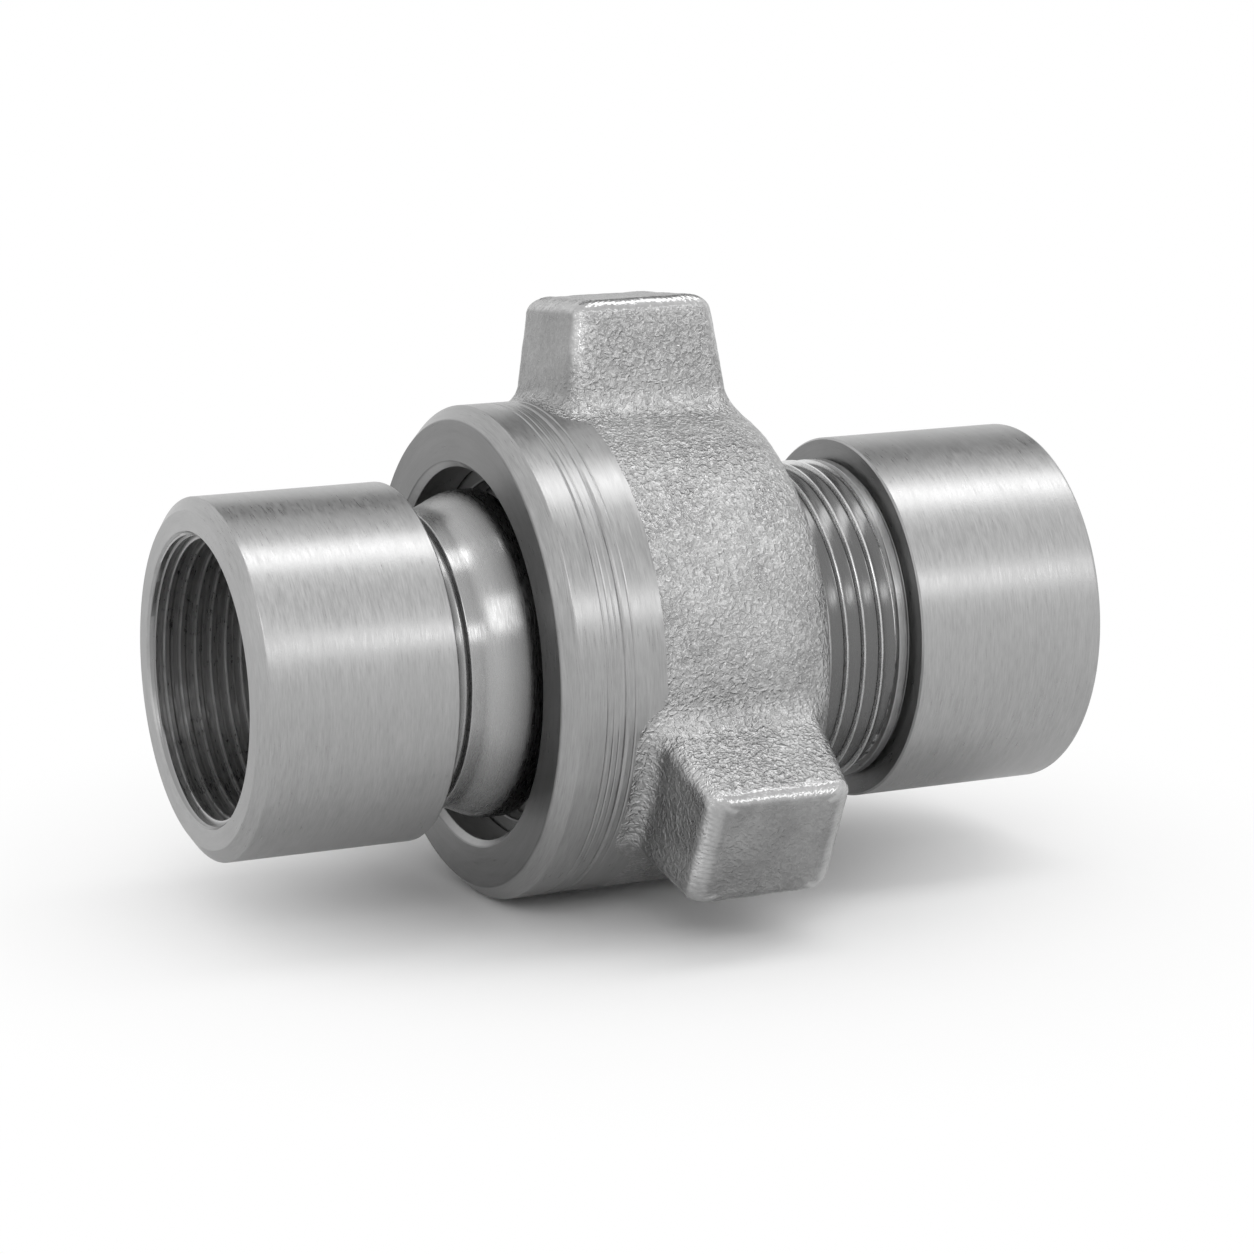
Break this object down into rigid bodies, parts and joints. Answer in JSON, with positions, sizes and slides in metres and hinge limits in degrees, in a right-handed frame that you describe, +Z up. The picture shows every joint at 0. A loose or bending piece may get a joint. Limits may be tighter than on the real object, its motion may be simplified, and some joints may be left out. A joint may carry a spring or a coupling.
{
  "type": "hammer union",
  "caption": "Steel hammer union for a threaded pipe: a winged nut on a flanged male sub screws onto a threaded female sub and seats its ball nose.",
  "frame": {"origin": "middle of the bounding box's footprint, at the floor that the nut's ring and one wing rest on", "axes": "+X along the union's axis from the male sub to the female sub, +Z up, +Y away from the side that the picture shows"},
  "size_m": [0.1858, 0.1336, 0.1222],
  "materials": {
    "male_steel": "turned, fine circular tool marks",
    "female_steel": "turned, fine circular tool marks",
    "forged_steel": "blasted raw skin with a turned front band",
    "segment_steel": "milled",
    "spring_steel": "blued spring steel",
    "nitrile": "moulded black rubber"
  },
  "bodies": {
    "female": {"female_sub": "female_steel", "seal_ring": "nitrile"},
    "retainer": {"retainer_segment_1": "segment_steel", "retainer_segment_2": "segment_steel", "retainer_segment_3": "segment_steel", "snap_ring": "spring_steel"},
    "nut": {"wing_nut": "forged_steel"},
    "male": {"male_sub": "male_steel"}
  },
  "joints": [
    {"name": "union_travel", "type": "slide", "parent": "female", "child": "retainer", "axis": [1, 0, 0], "range_m": [-0.012, 0.016]},
    {"name": "nut_spin", "type": "hinge", "parent": "retainer", "child": "nut", "pos_m": [-0.0053, 0.00219, 0.05066], "axis": [1, 0, 0], "range_deg": [-1080, 1440]},
    {"name": "male_swivel", "type": "hinge", "parent": "retainer", "child": "male", "pos_m": [-0.0399, 0.00219, 0.05066], "axis": [1, 0, 0], "continuous": true}
  ],
  "couplings": [
    {"joint": "union_travel", "follows": "nut_spin", "m_per_rad": 0.00063662}
  ]
}
